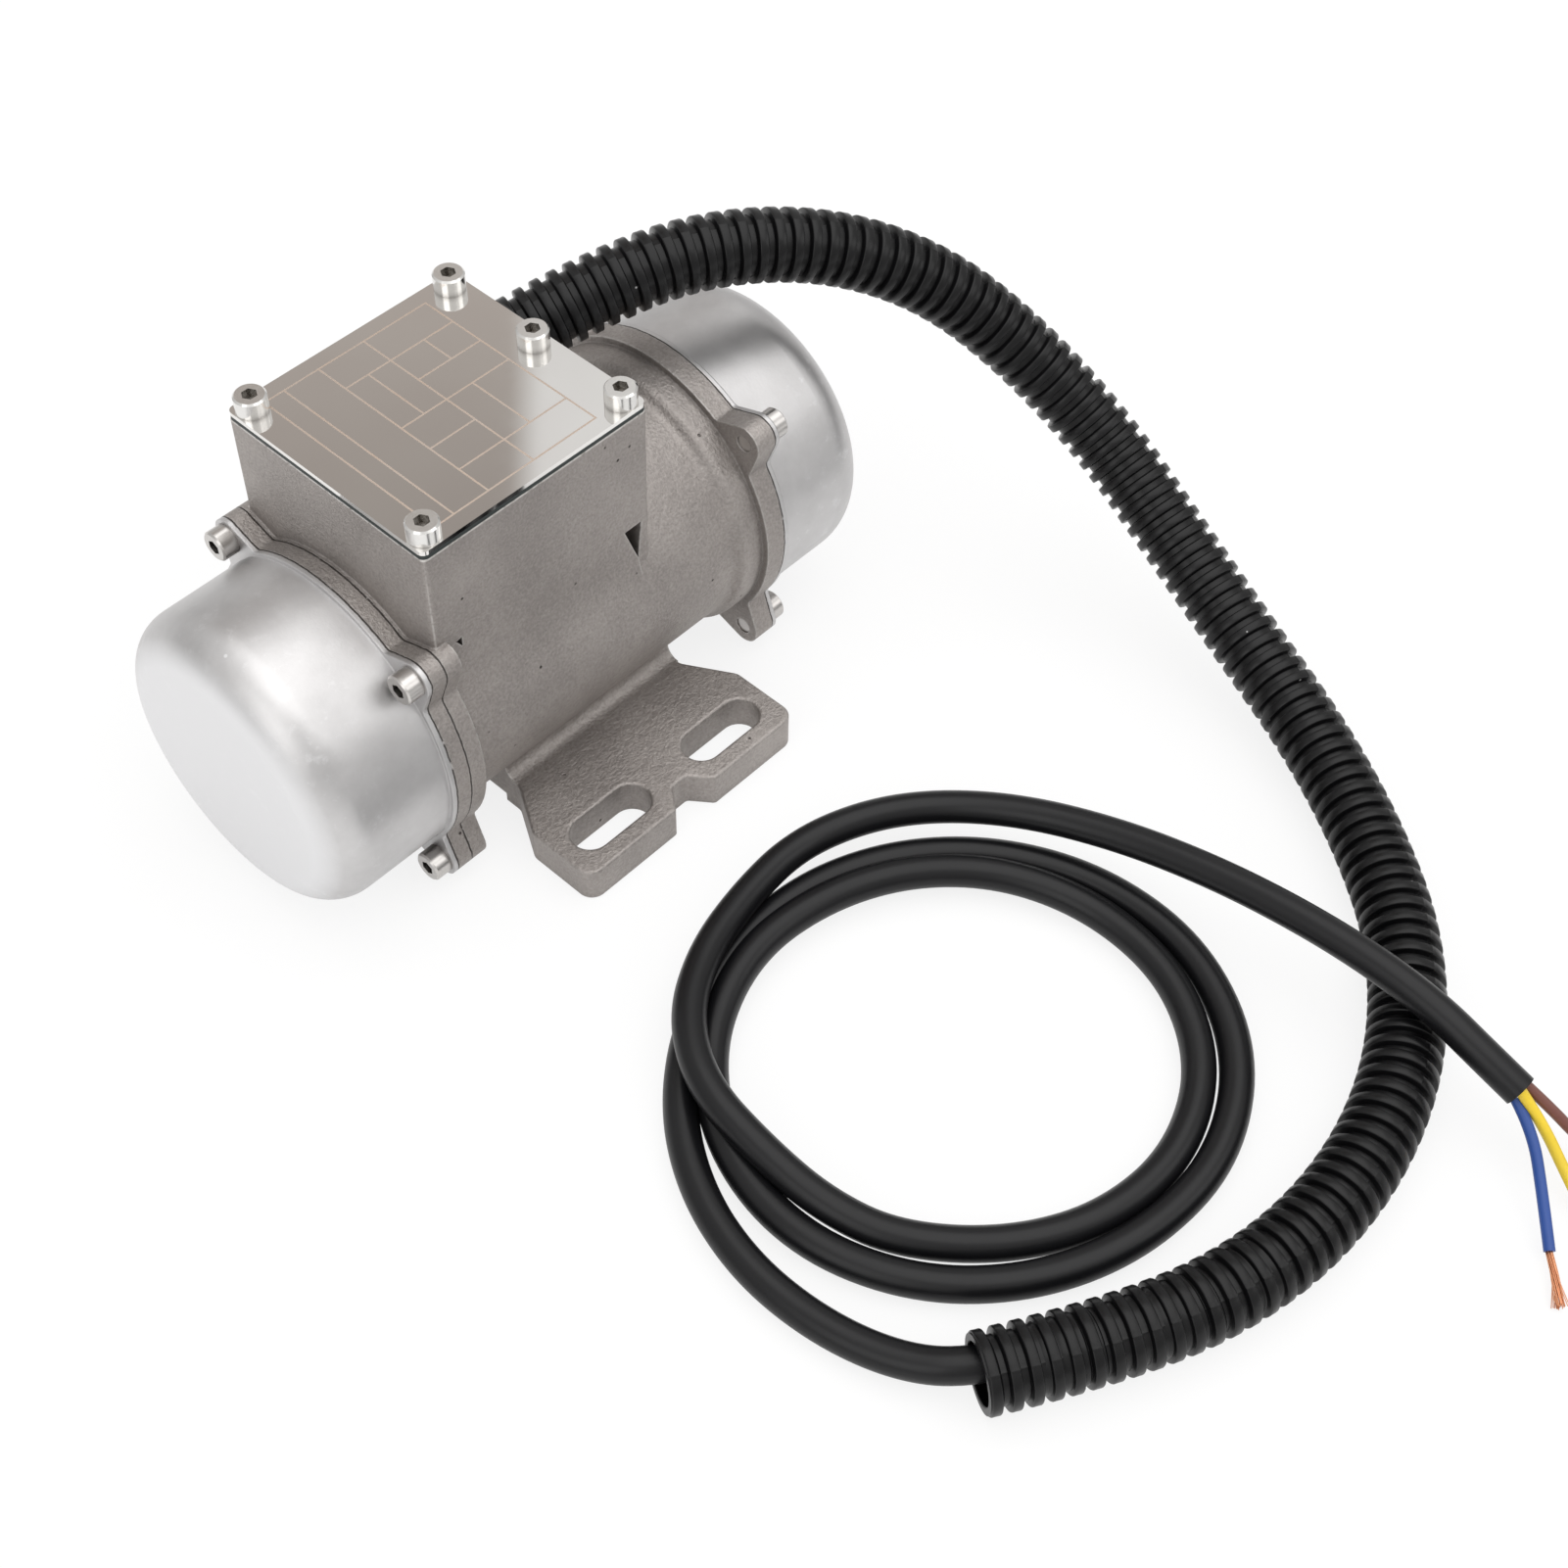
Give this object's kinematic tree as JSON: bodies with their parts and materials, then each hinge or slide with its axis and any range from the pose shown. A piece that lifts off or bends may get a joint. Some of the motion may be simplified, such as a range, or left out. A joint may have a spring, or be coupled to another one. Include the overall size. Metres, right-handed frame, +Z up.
{
  "type": "vibration motor",
  "caption": "Compact rotary vibration motor: round body on a slotted foot, end covers, top terminal box with a flat lid, eccentric weights inside and a cable in corrugated conduit.",
  "frame": {"origin": "on the floor, under the centre of the foot and of the shaft's length", "axes": "+X along the shaft towards the end where the conduit leaves the box, +Z up, -Y towards the side that the cable lies on"},
  "size_m": [0.2126, 0.3243, 0.1016],
  "materials": {
    "casting": "blasted cast stainless steel",
    "cover": "satin pressed stainless steel",
    "lid": "polished stainless steel",
    "screw": "stainless steel screws",
    "gasket": "black rubber",
    "lamination": "stacked electrical steel",
    "copper": "enamelled or bare copper",
    "shaft": "ground steel",
    "rotor_ring": "cast aluminium",
    "bearing": "polished bearing steel",
    "cage": "moulded nylon",
    "weight": "machined steel",
    "capacitor": "moulded case",
    "terminal": "moulded block",
    "bush": "black rubber",
    "conduit": "black corrugated plastic",
    "jacket": "black cable jacket",
    "blue": "blue core insulation",
    "yellow": "yellow core insulation",
    "brown": "brown core insulation"
  },
  "bodies": {
    "base": {"housing": "casting", "end_shield": "casting", "left_cover": "cover", "right_cover": "cover", "cover_screws_left": "screw", "cover_screws_right": "screw", "lid_gasket": "gasket", "terminal_lid": "lid", "lid_screws": "screw", "stator_core": "lamination", "stator_winding": "copper", "bearing_outer_left": "bearing", "bearing_outer_right": "bearing", "capacitor": "capacitor", "terminal_block": "terminal", "conduit_bush": "bush", "conduit": "conduit", "cable_lead": "jacket", "cable_coil": "jacket", "cable_tail": "jacket", "core_blue": "blue", "core_yellow": "yellow", "core_brown": "brown", "copper_strands": "copper"},
    "rotor": {"shaft": "shaft", "rotor_core": "lamination", "rotor_end_rings": "rotor_ring", "bearing_inner_left": "bearing", "bearing_inner_right": "bearing", "weight_fixed_left": "weight", "weight_adjustable_left": "weight", "weight_fixed_right": "weight", "weight_adjustable_right": "weight", "clamp_screws_left": "screw", "clamp_screws_right": "screw", "retaining_rings": "screw"},
    "cage_left": {"bearing_cage_left": "cage", "bearing_balls_left": "bearing"},
    "cage_right": {"bearing_cage_right": "cage", "bearing_balls_right": "bearing"}
  },
  "joints": [
    {"name": "rotor_spin", "type": "hinge", "parent": "base", "child": "rotor", "pos_m": [0, 0, 0.0374], "axis": [1, 0, 0], "continuous": true},
    {"name": "cage_left_spin", "type": "hinge", "parent": "base", "child": "cage_left", "pos_m": [-0.0451, 0, 0.0374], "axis": [1, 0, 0], "continuous": true},
    {"name": "cage_right_spin", "type": "hinge", "parent": "base", "child": "cage_right", "pos_m": [0.0456, 0, 0.0374], "axis": [1, 0, 0], "continuous": true}
  ],
  "couplings": [
    {"joint": "cage_left_spin", "follows": "rotor_spin", "ratio": 0.381},
    {"joint": "cage_right_spin", "follows": "rotor_spin", "ratio": 0.381}
  ]
}
